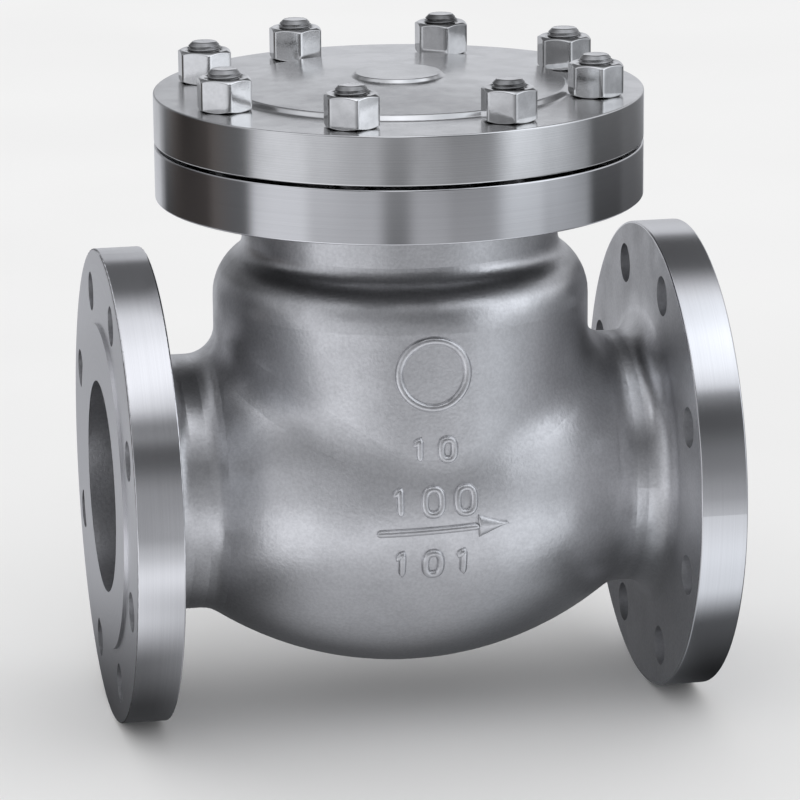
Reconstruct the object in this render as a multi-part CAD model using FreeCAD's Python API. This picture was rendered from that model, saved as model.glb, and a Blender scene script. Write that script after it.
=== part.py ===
"""Swing check valve, flanged, nominal bore 100 mm. Millimetres, +Z up, +X along the flow.

The origin is the centre of the inlet's raised face. The pipe axis is the X axis.
The bonnet axis stands upright at x = centre, close to halfway between the two raised faces.
"""

import FreeCAD, Part
import math
import os

from FreeCAD import Vector

# Pipe flanges
flange_od = 229.0
flange_thickness = 22.4
raised_face_height = 1.6
raised_face_gap = 7.15
bore_d = 102.0
bolt_edge_distance = 19.25
bolt_hole_d = 19.0
outlet_hole_extra = 0.4
bolt_hole_count = 8
rim_edge = 0.8

# Casting, outside
tube_wall = 10.5
tube_length = 23.8
barrel_swell = 42.2
barrel_ledge = 7.7
bowl_inset = 2.7
bowl_top_drop = 4.2
bonnet_offset = 1.15
shoulder_r = 26.0
shoulder_width = 14.5
neck_length = 25.3
hub_fillet = 12.0
tube_fillet = 16.0
saddle_fillet_side = 11.0
saddle_fillet_front = 60.0
shoulder_fillet = 9.0
neck_fillet = 6.0

# Casting, inside
wall = 9.0
inlet_bore_depth = 78.0
passage_relief = 1.0

# Bonnet flange and cover
bonnet_width = 41.0
bonnet_flange_thickness = 25.8
bonnet_gap = 1.6
cover_thickness = 23.3
plateau_gap = 1.65
plateau_height = 2.4
plateau_fillet = 1.8
crown_height = 3.6
boss_d = 41.0
boss_height = 1.8
dish_inset = 6.0
cover_dish_depth = 9.0
recess_gap = 3.0
recess_depth = 3.0
register_height = 1.5
register_clearance = 0.3
gasket_inset = 3.0

# Cover studs and nuts
stud_d = 16.0
stud_edge_distance = 21.5
stud_circle_turn = 1.4
stud_count = 8
stud_reach = 3.7
stud_engagement = 20.0
stud_hole_runout = 1.5
stud_room = 1.0
stud_chamfer = 1.2
thread_clearance = 0.05
nut_height = 15.6
nut_turns = (2.0, 55.0, 52.5, 50.5, 46.5, 8.0, 23.0, 2.0)

# Seat
seat_tilt = 6.0
seat_offset = 32.0
seat_step = 0.5
seat_wall = 7.0
seat_flange = 3.5
seat_head_thickness = 6.0
seat_shank_length = 10.0
seat_chamfer = 1.5
seat_land = 5.5
seat_relief = 1.0
nozzle_margin = 3.0

# Hinge
hinge_room = 15.0
hinge_setback = 14.0
hinge_open_deg = 65.0
hinge_pin_d = 14.0
pin_clearance = 0.08
bush_wall = 1.9
bush_flange_width = 3.0
bush_flange = 1.5
hub_wall = 4.5
arm_hub_half = 17.0
side_play = 0.5
stop_half_thickness = 4.7
stop_reach = 21.0
stop_gap = 0.3
stop_half_width = 9.0
ear_thickness = 10.0
ear_wall = 5.5
plate_thickness = 7.0
plate_half_width = 29.0
shelf_margin = 1.0
hub_room = 1.5
bracket_edge = 9.5
bracket_hole_room = 0.5
bracket_bolt_d = 8.0
bracket_bolt_flats = 13.0
bracket_bolt_head = 5.3
bracket_bolt_length = 18.0
bracket_bolt_half_pitch = 14.0
bracket_bolt_setback = 32.5
bracket_hole_runout = 1.5
bolt_chamfer = 0.8
washer_room = 0.25
lock_washer_width = 3.2
lock_washer_thickness = 2.0
lock_washer_slit = 1.6
pin_head_rise = 3.5
pin_head_thickness = 5.0
pin_washer_width = 4.75
pin_washer_thickness = 2.0
pin_tail = 9.0
pin_chamfer = 1.0
ear_pin_clearance = 0.05
bush_gap = 4.0

# Disc
disc_overhang = 1.5
disc_rim = 8.0
disc_centre = 13.0
disc_seat_gap = 0.1
disc_face_relief = 1.4
disc_boss_d = 40.0
disc_boss_height = 2.0
disc_cone_width = 4.0
disc_rim_land = 5.0
disc_land_overlap = 2.0
disc_fillet = 3.0
stem_thread_d = 16.0
stem_shoulder = 2.0
stem_clearance = 0.1
arm_end_float = 0.3
arm_eye_wall = 11.9
arm_eye_thickness = 13.5
arm_web_half = 11.0
web_foot_half = 15.0
web_inset = 1.5
disc_washer_width = 8.75
disc_washer_thickness = 3.0
disc_nut_hex_height = 11.0
disc_nut_crown_height = 4.0
disc_nut_crown_step = 1.0
stem_end_beyond_nut = 2.0
cotter_d = 3.6
pin_cotter_d = 3.2
cotter_slot_room = 0.5
cotter_eye_r = 3.4
cotter_leg = 6.0
cotter_room = 0.15

# Flanges and tubes, worked out
bolt_circle_d = flange_od - 2 * bolt_edge_distance
raised_face_od = bolt_circle_d - bolt_hole_d - 2 * raised_face_gap
outlet_bolt_hole_d = bolt_hole_d + outlet_hole_extra
tube_od = bore_d + 2 * tube_wall
flange_back = raised_face_height + flange_thickness

# Barrel, bowl and neck, worked out
barrel_od = bore_d + 2 * barrel_swell
bowl_od = barrel_od - 2 * bowl_inset
barrel_half = bowl_od / 2 + barrel_ledge
barrel_drop = (barrel_od - tube_od) / 2
barrel_arc_r = (barrel_half ** 2 + barrel_drop ** 2) / (2 * barrel_drop)
face_to_face = 2 * (flange_back + tube_length + barrel_half)
centre = face_to_face / 2 + bonnet_offset
bowl_top_z = barrel_od / 2 - bowl_top_drop
neck_od = bowl_od - 2 * shoulder_width
neck_bore_d = neck_od - 2 * wall
bonnet_od = neck_od + 2 * bonnet_width
shoulder_z = bowl_top_z + math.sqrt(shoulder_r ** 2 - (shoulder_r - shoulder_width) ** 2)
underside_z = shoulder_z + neck_length
bonnet_flange_top_z = underside_z + bonnet_flange_thickness

# Cover, studs and nuts, worked out
cover_bottom_z = bonnet_flange_top_z + bonnet_gap
cover_top_z = cover_bottom_z + cover_thickness
stud_circle_d = bonnet_od - 2 * stud_edge_distance
stud_hole_depth = stud_engagement + stud_hole_runout
stud_clearance_hole_d = stud_d + 2 * stud_room
nut_flats = 1.5 * stud_d
plateau_d = stud_circle_d - nut_flats * 2 / math.sqrt(3) - 2 * plateau_gap
recess_d = stud_circle_d - stud_d - 2 * recess_gap
cover_dish_d = neck_bore_d - 2 * dish_inset

# Seat and hinge, worked out
seat_bore_d = bore_d - 2 * seat_step
seat_shank_d = seat_bore_d + 2 * seat_wall
seat_head_d = seat_shank_d + 2 * seat_flange
seat_land_inner_d = seat_bore_d + 2 * seat_chamfer
seat_land_outer_d = seat_land_inner_d + 2 * seat_land
nozzle_od = seat_head_d + 2 * nozzle_margin
hinge_drop = seat_head_d / 2 + hinge_room
tilt = math.radians(seat_tilt)
seat_normal = Vector(math.cos(tilt), 0, math.sin(tilt))
seat_up = Vector(-math.sin(tilt), 0, math.cos(tilt))
seat_centre = Vector(centre - seat_offset, 0, 0)
pivot = seat_centre + seat_normal * hinge_setback + seat_up * hinge_drop
bush_bore_d = hinge_pin_d + 2 * pin_clearance
bush_od = bush_bore_d + 2 * bush_wall
bush_flange_d = bush_od + 2 * bush_flange_width
arm_hub_d = bush_od + 2 * hub_wall
ear_d = hinge_pin_d + 2 * ear_wall
ear_inner = arm_hub_half + bush_flange + side_play
ear_outer = ear_inner + ear_thickness
pin_head_d = hinge_pin_d + 2 * pin_head_rise
pin_washer_bore_d = hinge_pin_d + 2 * washer_room
plate_top_z = pivot.z - stop_half_thickness - stop_gap
shelf_z = plate_top_z - plate_thickness
shelf_half_width = plate_half_width + shelf_margin
bracket_bolt_end_z = plate_top_z + lock_washer_thickness - bracket_bolt_length
lock_washer_bore_d = bracket_bolt_d + 2 * washer_room

# Disc and its fastening, worked out
disc_d = seat_land_outer_d + 2 * disc_overhang
disc_cone_d = disc_boss_d + 2 * disc_cone_width
stem_d = stem_thread_d + 2 * stem_shoulder
arm_eye_d = stem_d + 2 * stem_clearance + 2 * arm_eye_wall
arm_eye_near = disc_centre + disc_boss_height + arm_end_float
arm_eye_far = arm_eye_near + arm_eye_thickness
washer_near = arm_eye_far + arm_end_float
disc_washer_bore_d = stem_thread_d + 2 * washer_room
disc_nut_flats = 1.5 * stem_thread_d
disc_nut_crown_d = disc_nut_flats - 2 * disc_nut_crown_step
disc_nut_slot = cotter_d + 2 * cotter_slot_room
nut_near = washer_near + disc_washer_thickness
nut_far = nut_near + disc_nut_hex_height + disc_nut_crown_height
stem_end = nut_far + stem_end_beyond_nut

X_AXIS = Vector(1, 0, 0)
Y_AXIS = Vector(0, 1, 0)
Z_AXIS = Vector(0, 0, 1)
OVER = 1.0


def rounded_edges(points):
    """Edges through (u, v) or (u, v, radius) corners; a radius rounds its corner."""
    flat = [Vector(p[0], p[1], 0) for p in points]
    count = len(points)
    starts, ends, edges = [], [], []
    for i, p in enumerate(points):
        here, before, after = flat[i], flat[i - 1], flat[(i + 1) % count]
        radius = p[2] if len(p) > 2 else 0
        if not radius:
            starts.append(here)
            ends.append(here)
            continue
        to_before = (before - here).normalize()
        to_after = (after - here).normalize()
        half = to_before.getAngle(to_after) / 2
        reach = radius / math.tan(half)
        middle = (to_before + to_after).normalize()
        crown = here + middle * (radius / math.sin(half) - radius)
        starts.append(here + to_before * reach)
        ends.append(here + to_after * reach)
        edges.append(Part.Arc(starts[-1], crown, ends[-1]).toShape())
    for i in range(count):
        a, b = ends[i], starts[(i + 1) % count]
        if (b - a).Length > 1e-6:
            edges.append(Part.LineSegment(a, b).toShape())
    return edges


def outline(points):
    """A flat face in the XY plane, bounded by rounded_edges."""
    return Part.Face(Part.Wire(Part.__sortEdges__(rounded_edges(points))))


def turned(points, base, direction):
    """Turns a (distance along the axis, radius) outline about a line from base."""
    solid = outline(points).revolve(Vector(), X_AXIS, 360)
    return placed(solid, base, direction)


def placed(shape, base, direction):
    """Carries a shape built along X to base, pointing along direction."""
    turn = FreeCAD.Rotation(X_AXIS, direction)
    moved = shape.copy()
    moved.Placement = FreeCAD.Placement(base, turn)
    return moved


def rod(diameter, base, direction, length):
    return Part.makeCylinder(diameter / 2, length, base, direction)


def block(x0, x1, y0, y1, z0, z1):
    return Part.makeBox(x1 - x0, y1 - y0, z1 - z0, Vector(x0, y0, z0))


def flat_ring(inner_d, width, thickness, foot, direction):
    ring = rod(inner_d + 2 * width, foot, direction, thickness)
    return ring.cut(rod(inner_d, foot, direction, thickness))


def ring_points(diameter, count, first_angle):
    """Points of a bolt circle, each as its two coordinates in the circle's plane."""
    for i in range(count):
        turn = math.radians(first_angle + 360.0 * i / count)
        yield diameter / 2 * math.sin(turn), diameter / 2 * math.cos(turn)


def stud_places():
    """The x and y of every stud of the bonnet."""
    for x, y in ring_points(stud_circle_d, stud_count, 180.0 / stud_count + stud_circle_turn):
        yield centre + x, y


def hexagon(flats, height, base, direction, turn=0.0, bottom=True, top=True):
    """Hexagonal prism with its corners turned off at one or both ends."""
    corner = flats / math.sqrt(3)
    turns = [math.radians(60 * i) for i in range(7)]
    corners = [Vector(0, corner * math.cos(a), corner * math.sin(a)) for a in turns]
    prism = Part.Face(Part.makePolygon(corners)).extrude(Vector(height, 0, 0))
    drop = (corner - flats * 0.48) * math.tan(math.radians(30))
    cap = flats * 0.48
    profile = [(0, 0), (0, cap if bottom else corner + OVER)]
    if bottom:
        profile.append((drop, corner))
        profile.append((drop, corner + OVER))
    if top:
        profile.append((height - drop, corner + OVER))
        profile.append((height - drop, corner))
    profile += [(height, cap if top else corner + OVER), (height, 0)]
    prism = prism.common(turned(profile, Vector(), X_AXIS))
    prism.rotate(Vector(), X_AXIS, turn)
    return placed(prism, base, direction)


def circular_edges(shape, radius, along):
    """Full circles of one radius whose centre lies at one of the given x places."""
    found = []
    for edge in shape.Edges:
        curve = edge.Curve
        if isinstance(curve, Part.Circle) and abs(curve.Radius - radius) < 1e-3:
            if any(abs(curve.Center.x - x) < 1e-3 for x in along):
                found.append(edge)
    return found


def barrel_reach(radius, inset=0.0):
    """Distance from the centre plane at which the barrel has this radius."""
    return math.sqrt((barrel_arc_r - inset) ** 2 - (radius - barrel_od / 2 + barrel_arc_r) ** 2)


def flanged_tube(face, direction, length):
    """Flange with its raised face, and the tube behind it, up to the bonnet axis."""
    tube_r, rim_r, face_r = tube_od / 2, flange_od / 2, raised_face_od / 2
    profile = [(0, 0), (0, face_r), (raised_face_height, face_r), (raised_face_height, rim_r, rim_edge),
               (flange_back, rim_r, rim_edge), (flange_back, tube_r, hub_fillet),
               (length, tube_r), (length, 0)]
    return turned(profile, face, direction)


def swell(radius, inset=0.0):
    """The barrel down to one radius, as a solid turned about the pipe axis."""
    reach = barrel_reach(radius, inset)
    ends = [Vector(centre - reach, radius, 0), Vector(centre + reach, radius, 0)]
    feet = [Vector(centre + reach, 0, 0), Vector(centre - reach, 0, 0)]
    top = Vector(centre, barrel_od / 2 - inset, 0)
    edges = [Part.Arc(ends[0], top, ends[1]).toShape()]
    edges += [Part.LineSegment(ends[1], feet[0]).toShape(), Part.LineSegment(feet[0], feet[1]).toShape(),
              Part.LineSegment(feet[1], ends[0]).toShape()]
    return Part.Face(Part.Wire(edges)).revolve(Vector(), X_AXIS, 360)


def pipe_run():
    """The outside along the pipe axis: two flanged tubes joined by the barrel."""
    inlet = flanged_tube(Vector(), X_AXIS, centre)
    outlet = flanged_tube(X_AXIS * face_to_face, X_AXIS * -1, face_to_face - centre)
    run = swell(tube_od / 2).fuse([inlet, outlet]).removeSplitter()
    reach = barrel_reach(tube_od / 2)
    return run.makeFillet(tube_fillet, circular_edges(run, tube_od / 2, (centre - reach, centre + reach)))


def bowl(inset=0.0):
    """Bowl, shoulder and neck about the bonnet axis, from the pipe axis up to the bonnet's top."""
    bowl_r, neck_r, bend_r = bowl_od / 2 - inset, neck_od / 2 - inset, shoulder_r - inset
    middle = bowl_r - bend_r
    neck_meets = bowl_top_z + math.sqrt(bend_r ** 2 - (neck_r - middle) ** 2)
    half = math.atan2(neck_meets - bowl_top_z, neck_r - middle) / 2
    crown = Vector(bowl_top_z + bend_r * math.sin(half), middle + bend_r * math.cos(half), 0)
    corners = [Vector(0, 0, 0), Vector(0, bowl_r, 0), Vector(bowl_top_z, bowl_r, 0),
               Vector(neck_meets, neck_r, 0), Vector(bonnet_flange_top_z, neck_r, 0),
               Vector(bonnet_flange_top_z, 0, 0)]
    edges = [Part.LineSegment(a, b).toShape() for a, b in zip(corners, corners[1:] + corners[:1])]
    edges[2] = Part.Arc(corners[2], crown, corners[3]).toShape()
    return placed(Part.Face(Part.Wire(edges)).revolve(Vector(), X_AXIS, 360), Vector(centre, 0, 0), Z_AXIS)


def upright_at(z):
    """The point of the bonnet axis at one height."""
    return Vector(centre, 0, z)


def upright():
    """The outside about the bonnet axis: bowl and neck, with the bonnet flange on top."""
    rim = [(0, 0), (0, bonnet_od / 2, rim_edge), (bonnet_flange_thickness, bonnet_od / 2, rim_edge),
           (bonnet_flange_thickness, 0)]
    return bowl().fuse(turned(rim, upright_at(underside_z), Z_AXIS)).removeSplitter()


def on_bowl(edge):
    """True for the crease where the bowl's upright wall meets the barrel."""
    if isinstance(edge.Curve, (Part.Circle, Part.Line)):
        return False
    span = edge.LastParameter - edge.FirstParameter
    points = [edge.valueAt(edge.FirstParameter + span * step / 8) for step in range(9)]
    return all(abs(math.hypot(p.x - centre, p.y) - bowl_od / 2) < 0.01 for p in points)


def softened(solid):
    """Blends the crease between bowl and barrel, wider towards the front and back than at the sides."""
    quarters = []
    for x0, x1 in ((-OVER, centre), (centre, face_to_face + OVER)):
        quarter = solid.common(block(x0, x1, -bonnet_od, 0, -bonnet_od, bonnet_od))
        crease = [edge for edge in quarter.Edges if on_bowl(edge)]
        radii = [saddle_fillet_side, saddle_fillet_front]
        if abs(crease[0].valueAt(crease[0].FirstParameter).y) > OVER:
            radii.reverse()
        quarter = quarter.makeFillet(radii[0], radii[1], crease)
        quarters += [quarter, quarter.mirror(Vector(), Y_AXIS)]
    return quarters[0].fuse(quarters[1:]).removeSplitter()


def neck_circle(shape, z):
    """The circles of the neck's radius at one height."""
    return [edge for edge in shape.Edges if isinstance(edge.Curve, Part.Circle)
            and abs(edge.Curve.Radius - neck_od / 2) < 1e-3 and abs(edge.Curve.Center.z - z) < 1e-3]


def casting_outside():
    solid = softened(pipe_run().fuse(upright()).removeSplitter())
    solid = solid.makeFillet(shoulder_fillet, neck_circle(solid, shoulder_z))
    return solid.makeFillet(neck_fillet, neck_circle(solid, underside_z))


def seat_side(offset):
    """Half-space on the inlet side of a plane parallel to the seat, as a very thick disc."""
    depth = face_to_face
    return rod(3 * flange_od, seat_centre + seat_normal * (offset - depth), seat_normal, depth)


def nozzle():
    """Inner end of the inlet passage, with the flat shelf for the hinge bracket on top."""
    start = centre - barrel_reach(bore_d / 2, wall)
    tube = rod(nozzle_od, Vector(start, 0, 0), X_AXIS, centre - start)
    shelf = block(start, centre, -shelf_half_width, shelf_half_width, bore_d / 2, shelf_z)
    return tube.fuse(shelf).common(seat_side(-seat_head_thickness))


def cavity():
    """The hollow of the casting: both bores, the chamber round the nozzle and the seat pocket."""
    chamber = swell(bore_d / 2, wall).fuse(bowl(wall)).cut(nozzle())
    inlet = rod(bore_d, Vector(-OVER, 0, 0), X_AXIS, inlet_bore_depth + OVER)
    passage = rod(bore_d + 2 * passage_relief, Vector(inlet_bore_depth, 0, 0), X_AXIS, centre)
    outlet = rod(bore_d, Vector(centre, 0, 0), X_AXIS, face_to_face)
    pocket = rod(seat_shank_d, seat_centre - seat_normal * (seat_head_thickness + seat_shank_length),
                 seat_normal, seat_shank_length + OVER)
    recess = rod(recess_d, upright_at(bonnet_flange_top_z - recess_depth), Z_AXIS, recess_depth + OVER)
    return [chamber, inlet, passage.common(seat_side(0)), outlet, pocket, recess]


def drillings():
    """Bolt holes of both pipe flanges, tapped stud holes and tapped bracket holes."""
    holes = []
    for y, z in ring_points(bolt_circle_d, bolt_hole_count, 180.0 / bolt_hole_count):
        holes.append(rod(bolt_hole_d, Vector(0, y, z), X_AXIS, flange_back))
        back = Vector(face_to_face - flange_back, y, z)
        holes.append(rod(outlet_bolt_hole_d, back, X_AXIS, flange_back))
    tapped_d = stud_d + 2 * thread_clearance
    for x, y in stud_places():
        foot = Vector(x, y, bonnet_flange_top_z - stud_hole_depth)
        holes.append(rod(tapped_d, foot, Z_AXIS, stud_hole_depth + OVER))
    hole_end_z = bracket_bolt_end_z - bracket_hole_runout
    for foot in bracket_bolt_points(hole_end_z):
        holes.append(rod(bracket_bolt_d + 2 * thread_clearance, foot, Z_AXIS, shelf_z - hole_end_z + OVER))
    return holes


def valve_body():
    return casting_outside().cut(cavity()).cut(drillings())


def cover():
    """Round cover with its raised plateau, crown, boss, register and hollow underside."""
    rim_r, plateau_r, boss_r = bonnet_od / 2, plateau_d / 2, boss_d / 2
    register_r = recess_d / 2 - register_clearance
    plateau_z = cover_thickness + plateau_height
    boss_foot_z = plateau_z + crown_height
    dish_r = cover_dish_d / 2
    profile = [(cover_dish_depth, 0), (cover_dish_depth, dish_r - cover_dish_depth, cover_dish_depth),
               (-register_height, dish_r), (-register_height, register_r), (0, register_r),
               (0, rim_r, rim_edge), (cover_thickness, rim_r, rim_edge),
               (cover_thickness, plateau_r + plateau_height, plateau_fillet),
               (plateau_z, plateau_r, plateau_fillet), (boss_foot_z, boss_r + boss_height, boss_height),
               (boss_foot_z + boss_height, boss_r, boss_height / 2), (boss_foot_z + boss_height, 0)]
    solid = turned(profile, upright_at(cover_bottom_z), Z_AXIS)
    feet = [Vector(x, y, cover_bottom_z - OVER) for x, y in stud_places()]
    depth = cover_thickness + 2 * OVER
    return solid.cut([rod(stud_clearance_hole_d, foot, Z_AXIS, depth) for foot in feet])


def cover_gasket():
    """Flat ring between the recess of the bonnet flange and the register of the cover."""
    thickness = recess_depth + bonnet_gap - register_height
    foot = upright_at(bonnet_flange_top_z - recess_depth)
    outer = rod(recess_d - 2 * register_clearance, foot, Z_AXIS, thickness)
    return outer.cut(rod(neck_bore_d + 2 * gasket_inset, foot, Z_AXIS, thickness))


def stud_row(make):
    """One piece for each stud, made at the piece's number, x and y."""
    return Part.makeCompound([make(i, x, y) for i, (x, y) in enumerate(stud_places())])


def stud(number, x, y):
    """Stud with chamfered ends, screwed into the bonnet flange."""
    foot = bonnet_flange_top_z - stud_engagement
    length = cover_top_z + nut_height + stud_reach - foot
    r = stud_d / 2
    profile = [(0, 0), (0, r - stud_chamfer), (stud_chamfer, r), (length - stud_chamfer, r),
               (length, r - stud_chamfer), (length, 0)]
    return turned(profile, Vector(x, y, foot), Z_AXIS)


def cover_nut(number, x, y):
    turn = nut_turns[number % len(nut_turns)]
    nut = hexagon(nut_flats, nut_height, Vector(x, y, cover_top_z), Z_AXIS, turn)
    return nut.cut(rod(stud_d + 2 * thread_clearance, Vector(x, y, cover_top_z), Z_AXIS, nut_height))


def seat_ring():
    """Shrunk-in ring: shank in the nozzle, head against its end, raised land facing the disc."""
    shank = -(seat_head_thickness + seat_shank_length)
    profile = [(shank, seat_bore_d / 2), (shank, seat_shank_d / 2),
               (-seat_head_thickness, seat_shank_d / 2), (-seat_head_thickness, seat_head_d / 2),
               (-seat_relief, seat_head_d / 2), (-seat_relief, seat_land_outer_d / 2),
               (0, seat_land_outer_d / 2), (0, seat_land_inner_d / 2),
               (-(seat_land_inner_d - seat_bore_d) / 2, seat_bore_d / 2)]
    return turned(profile, seat_centre, seat_normal)


def side_plate(points, y0, y1):
    """Plate standing along the flow, from (x, z) points, between two y places."""
    turn = FreeCAD.Rotation(X_AXIS, 90)
    flat = outline(points)
    flat.Placement = FreeCAD.Placement(Vector(0, y0, 0), turn)
    return flat.extrude(Vector(0, y1 - y0, 0))


def bracket_bolt_points(z):
    for y in (-bracket_bolt_half_pitch, bracket_bolt_half_pitch):
        yield Vector(pivot.x - bracket_bolt_setback, y, z)


def hinge_bracket():
    """Yoke on the shelf: a base plate with an ear on each side of the arm's hub."""
    back = pivot.x - bracket_bolt_setback - bracket_edge
    front = pivot.x - arm_hub_d / 2 - hub_room
    ear_r, ear_top = ear_d / 2, pivot.z + ear_d / 2
    nose = (ear_top - shelf_z) / 2 - 0.01
    base = block(back, front, -plate_half_width, plate_half_width, shelf_z, plate_top_z)
    ear = [(back + bracket_edge, shelf_z), (pivot.x + ear_r, shelf_z, nose), (pivot.x + ear_r, ear_top, nose),
           (pivot.x - ear_r / 2, ear_top, ear_r), (front - ear_r / 2, plate_top_z, ear_r / 2),
           (back + bracket_edge, plate_top_z)]
    solid = base.fuse([side_plate(ear, ear_inner, ear_outer), side_plate(ear, -ear_outer, -ear_inner)])
    hole_d, half = bracket_bolt_d + 2 * bracket_hole_room, ear_outer + OVER
    depth = plate_thickness + 2 * OVER
    holes = [rod(hole_d, foot, Z_AXIS, depth) for foot in bracket_bolt_points(shelf_z - OVER)]
    holes.append(rod(hinge_pin_d + 2 * ear_pin_clearance, pivot - Y_AXIS * half, Y_AXIS, 2 * half))
    return solid.removeSplitter().cut(holes)


def bracket_bolt(foot):
    """Hexagon bolt whose head stands on the lock washer."""
    seat = plate_top_z + lock_washer_thickness
    place = Vector(foot.x, foot.y, seat)
    head = hexagon(bracket_bolt_flats, bracket_bolt_head, place, Z_AXIS, 90, bottom=False)
    shank = [(0, 0), (0, bracket_bolt_d / 2 - bolt_chamfer), (bolt_chamfer, bracket_bolt_d / 2),
             (bracket_bolt_length, bracket_bolt_d / 2), (bracket_bolt_length, 0)]
    return head.fuse(turned(shank, Vector(foot.x, foot.y, seat - bracket_bolt_length), Z_AXIS))


def bracket_bolts():
    return Part.makeCompound([bracket_bolt(foot) for foot in bracket_bolt_points(0)])


def bracket_lock_washers():
    """Spring washers, each cut through once."""
    washers = []
    for foot in bracket_bolt_points(plate_top_z):
        ring = flat_ring(lock_washer_bore_d, lock_washer_width, lock_washer_thickness, foot, Z_AXIS)
        side, top = lock_washer_slit / 2, foot.z + lock_washer_thickness
        slit = block(foot.x - lock_washer_bore_d, foot.x, foot.y - side, foot.y + side, foot.z, top)
        washers.append(ring.cut(slit))
    return Part.makeCompound(washers)


def pin_cotter_y():
    return ear_outer + pin_washer_thickness + pin_cotter_d


def hinge_pin():
    """Pin through both ears, its head on the near side and a split pin hole in its tail."""
    r, length = hinge_pin_d / 2, 2 * ear_outer + pin_washer_thickness + pin_tail
    profile = [(-pin_head_thickness, 0), (-pin_head_thickness, pin_head_d / 2, rim_edge), (0, pin_head_d / 2),
               (0, r), (length - pin_chamfer, r), (length, r - pin_chamfer), (length, 0)]
    pin = turned(profile, pivot - Y_AXIS * ear_outer, Y_AXIS)
    hole = Vector(pivot.x, pin_cotter_y(), pivot.z - hinge_pin_d)
    return pin.cut(rod(pin_cotter_d + 2 * cotter_room, hole, Z_AXIS, 2 * hinge_pin_d))


def hinge_pin_washer():
    foot = pivot + Y_AXIS * ear_outer
    return flat_ring(pin_washer_bore_d, pin_washer_width, pin_washer_thickness, foot, Y_AXIS)


def split_pin(diameter, span, middle, along, spread):
    """Split pin along one direction: eye, shank across span, and two legs bent apart."""
    r = diameter / 2
    start = middle - along * (span / 2)
    end = middle + along * (span / 2)
    eye = Part.makeTorus(cotter_eye_r, r * 0.8, start - along * (cotter_eye_r + r * 0.4), along.cross(spread))
    pieces = [eye, rod(diameter, start, along, span)]
    for side in (1, -1):
        leg = (along + spread * side).normalize()
        root = end - along * r * 0.4
        pieces.append(rod(r * 1.5, root, leg, cotter_leg))
        pieces.append(Part.makeSphere(r * 0.75, root + leg * cotter_leg))
    return pieces[0].fuse(pieces[1:]).removeSplitter()


def hinge_pin_cotter():
    middle = Vector(pivot.x, pin_cotter_y(), pivot.z)
    return split_pin(pin_cotter_d, hinge_pin_d + pin_cotter_d, middle, Z_AXIS * -1, X_AXIS)


def arm_bush(side):
    """Flanged bush in one end of the arm's hub."""
    inner, outer = bush_bore_d / 2, bush_od / 2
    profile = [(bush_gap / 2, inner), (bush_gap / 2, outer), (arm_hub_half, outer),
               (arm_hub_half, bush_flange_d / 2),
               (arm_hub_half + bush_flange, bush_flange_d / 2), (arm_hub_half + bush_flange, inner)]
    return turned(profile, pivot, Y_AXIS * side)


def at_seat(u, v, y=0.0):
    """A point by its distances from the seat plane, up the plane and across the flow."""
    return seat_centre + seat_normal * u + seat_up * v + Y_AXIS * y


def arm_web():
    """Tapered web from the eye up to the hub, parallel to the seat."""
    near, far = arm_eye_near + web_inset, arm_eye_far - web_inset
    corners = [(0, -web_foot_half), (hinge_drop, -arm_web_half), (hinge_drop, arm_web_half),
               (0, web_foot_half)]
    wire = Part.makePolygon([at_seat(near, v, y) for v, y in corners + corners[:1]])
    return Part.Face(wire).extrude(seat_normal * (far - near))


def stop_lug():
    """Lug behind the hub, which comes down on the bracket when the arm is fully open."""
    turn = math.radians(hinge_open_deg)
    back = Vector(-math.cos(turn), 0, math.sin(turn))
    side = Vector(-math.sin(turn), 0, -math.cos(turn))
    corners = [pivot + back * a + side * b
               for a, b in ((0, -stop_half_thickness), (stop_reach, -stop_half_thickness),
                            (stop_reach, stop_half_thickness), (0, stop_half_thickness))]
    face = Part.Face(Part.makePolygon([p - Y_AXIS * stop_half_width for p in corners + corners[:1]]))
    return face.extrude(Y_AXIS * 2 * stop_half_width)


def hinge_arm():
    """Arm: hub on the pin, web, eye round the disc's stem and the stop lug."""
    hub = rod(arm_hub_d, pivot - Y_AXIS * arm_hub_half, Y_AXIS, 2 * arm_hub_half)
    eye = rod(arm_eye_d, at_seat(arm_eye_near, 0), seat_normal, arm_eye_thickness)
    solid = hub.fuse([eye, arm_web(), stop_lug()]).removeSplitter()
    bores = [rod(bush_od, pivot - Y_AXIS * face_to_face, Y_AXIS, 2 * face_to_face),
             rod(stem_d + 2 * stem_clearance, at_seat(0, 0), seat_normal, face_to_face)]
    return solid.cut(bores)


def disc():
    """Disc with its sealing rim, dished back, boss and threaded stem, in one piece."""
    rim_r, boss_r, stem_r, thread_r = disc_d / 2, disc_boss_d / 2, stem_d / 2, stem_thread_d / 2
    land_r = seat_land_inner_d / 2 - disc_land_overlap
    face = disc_seat_gap + disc_face_relief
    profile = [(face, 0), (face, land_r - disc_face_relief), (disc_seat_gap, land_r),
               (disc_seat_gap, rim_r, rim_edge), (disc_rim, rim_r, rim_edge),
               (disc_rim, rim_r - disc_rim_land, disc_fillet), (disc_centre, disc_cone_d / 2),
               (disc_centre, boss_r), (disc_centre + disc_boss_height, boss_r),
               (disc_centre + disc_boss_height, stem_r), (washer_near, stem_r), (washer_near, thread_r),
               (stem_end - stud_chamfer, thread_r), (stem_end, thread_r - stud_chamfer), (stem_end, 0)]
    solid = turned(profile, seat_centre, seat_normal)
    side = disc_cotter_middle() - Y_AXIS * stem_d
    return solid.cut(rod(cotter_d + 2 * cotter_room, side, Y_AXIS, 2 * stem_d))


def disc_washer():
    foot = at_seat(washer_near, 0)
    return flat_ring(disc_washer_bore_d, disc_washer_width, disc_washer_thickness, foot, seat_normal)


def disc_cotter_middle():
    return at_seat(nut_far - disc_nut_crown_height / 2, 0)


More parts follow.
